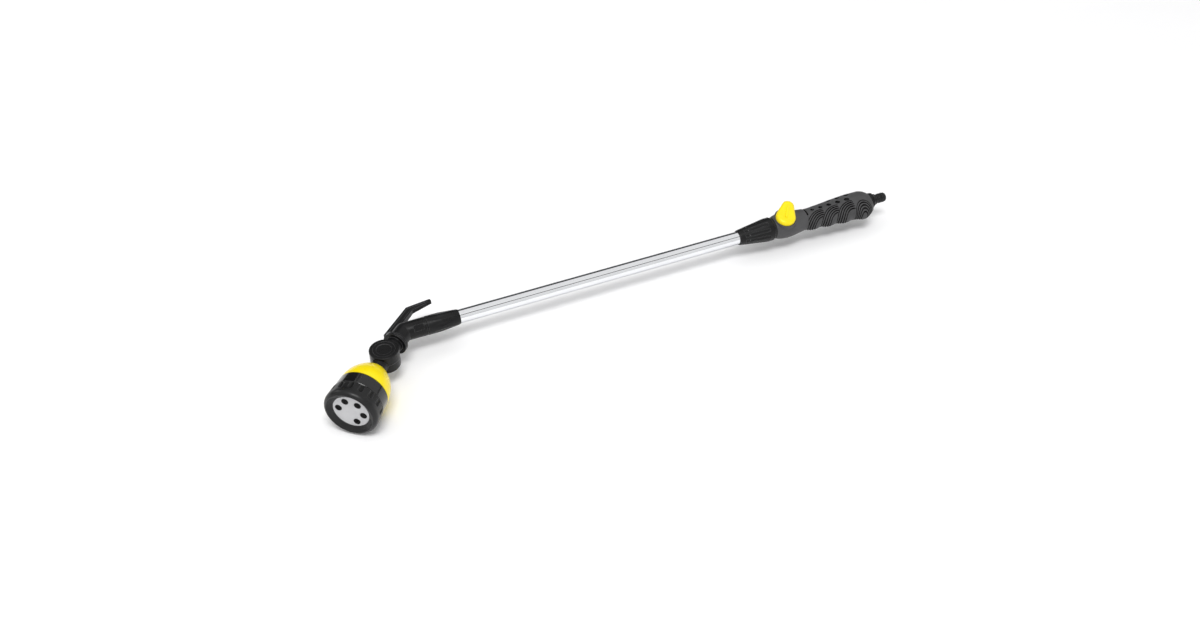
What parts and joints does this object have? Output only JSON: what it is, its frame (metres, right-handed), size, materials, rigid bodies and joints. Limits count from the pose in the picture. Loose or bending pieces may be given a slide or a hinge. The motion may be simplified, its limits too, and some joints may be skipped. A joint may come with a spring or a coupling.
{
  "type": "watering wand",
  "caption": "Long straight telescopic watering wand with a hose connector, lobed grip, turning flow knob, twist lock, hanging hook, tilting hub and a turning multi-spray head.",
  "frame": {"origin": "on the tube axis, in the middle of the hose connector's sealing barrel", "axes": "+X out of the hose connector along the tube, +Z along the spray head's tilt axis, -Y towards the side the head bends to"},
  "size_m": [0.8935, 0.1892, 0.072],
  "materials": {
    "soft_grip": "soft satin",
    "black_plastic": "fine grained",
    "grey_plastic": "fine grained",
    "gloss_black": "polished",
    "yellow_plastic": "semi-gloss",
    "tube_aluminium": "polished, anodised",
    "plate_grey": "satin",
    "nozzle_rubber": "matt",
    "seal_rubber": "matt",
    "seat_white": "smooth",
    "ball_metal": "polished",
    "screw_steel": "bright"
  },
  "bodies": {
    "handle": {"hose_connector": "black_plastic", "connector_oring": "seal_rubber", "end_collar": "black_plastic", "water_pipe": "grey_plastic", "grip_sleeve": "soft_grip", "grip_shell_upper": "black_plastic", "grip_shell_lower": "black_plastic", "grip_screws": "screw_steel", "valve_body": "grey_plastic", "valve_seat_inlet": "seat_white", "valve_seat_outlet": "seat_white", "seat_carrier": "grey_plastic", "swivel_oring": "seal_rubber", "tube_gland": "black_plastic", "spindle_gland": "grey_plastic", "bumper_ring": "seal_rubber"},
    "flow_knob": {"flow_knob": "yellow_plastic", "knob_spindle": "grey_plastic", "spindle_oring": "seal_rubber", "valve_ball": "ball_metal"},
    "inner_tube": {"inner_tube": "tube_aluminium", "tube_flange": "tube_aluminium", "tube_piston": "grey_plastic", "piston_seal": "seal_rubber"},
    "lance": {"outer_tube": "tube_aluminium", "clamp_sleeve": "grey_plastic", "clamp_collet": "seat_white", "tube_seal": "seal_rubber", "union_nut": "black_plastic", "elbow": "black_plastic", "hanging_hook": "black_plastic", "flange_seal": "seal_rubber", "hub_socket": "black_plastic", "hub_bolt": "screw_steel", "hub_nut": "screw_steel", "hub_cap_upper": "black_plastic"},
    "clamp_nut": {"clamp_nut": "black_plastic"},
    "spray_head": {"hub_knuckle": "black_plastic", "hub_oring": "seal_rubber", "hub_cap_lower": "black_plastic", "bell": "yellow_plastic", "head_seal": "seal_rubber", "body_ring": "gloss_black", "distributor": "black_plastic", "port_seal": "seal_rubber", "selector_screw": "screw_steel"},
    "selector": {"selector_drum": "black_plastic", "bezel": "black_plastic", "face_plate": "plate_grey", "nozzle_jet": "nozzle_rubber", "nozzle_shower": "nozzle_rubber", "nozzle_cone": "nozzle_rubber", "nozzle_flat": "nozzle_rubber", "nozzle_mist": "nozzle_rubber"}
  },
  "joints": [
    {"name": "knob_turn", "type": "hinge", "parent": "handle", "child": "flow_knob", "pos_m": [-0.1706, 0, 0], "axis": [0, 0.2924, -0.9563], "range_deg": [-37, 53]},
    {"name": "tube_swivel", "type": "hinge", "parent": "handle", "child": "inner_tube", "pos_m": [-0.19, 0, 0], "axis": [1, 0, 0], "continuous": true},
    {"name": "lance_slide", "type": "slide", "parent": "inner_tube", "child": "lance", "axis": [-1, 0, 0], "range_m": [0, 0.33]},
    {"name": "nut_turn", "type": "hinge", "parent": "lance", "child": "clamp_nut", "pos_m": [-0.22, 0, 0], "axis": [1, 0, 0], "range_deg": [0, 90]},
    {"name": "head_tilt", "type": "hinge", "parent": "lance", "child": "spray_head", "pos_m": [-0.78949, -0.03649, 0], "axis": [0, 0, 1], "range_deg": [-95, 85]},
    {"name": "selector_turn", "type": "hinge", "parent": "spray_head", "child": "selector", "pos_m": [-0.85569, -0.11539, 0], "axis": [-0.6428, -0.766, 0], "continuous": true}
  ]
}
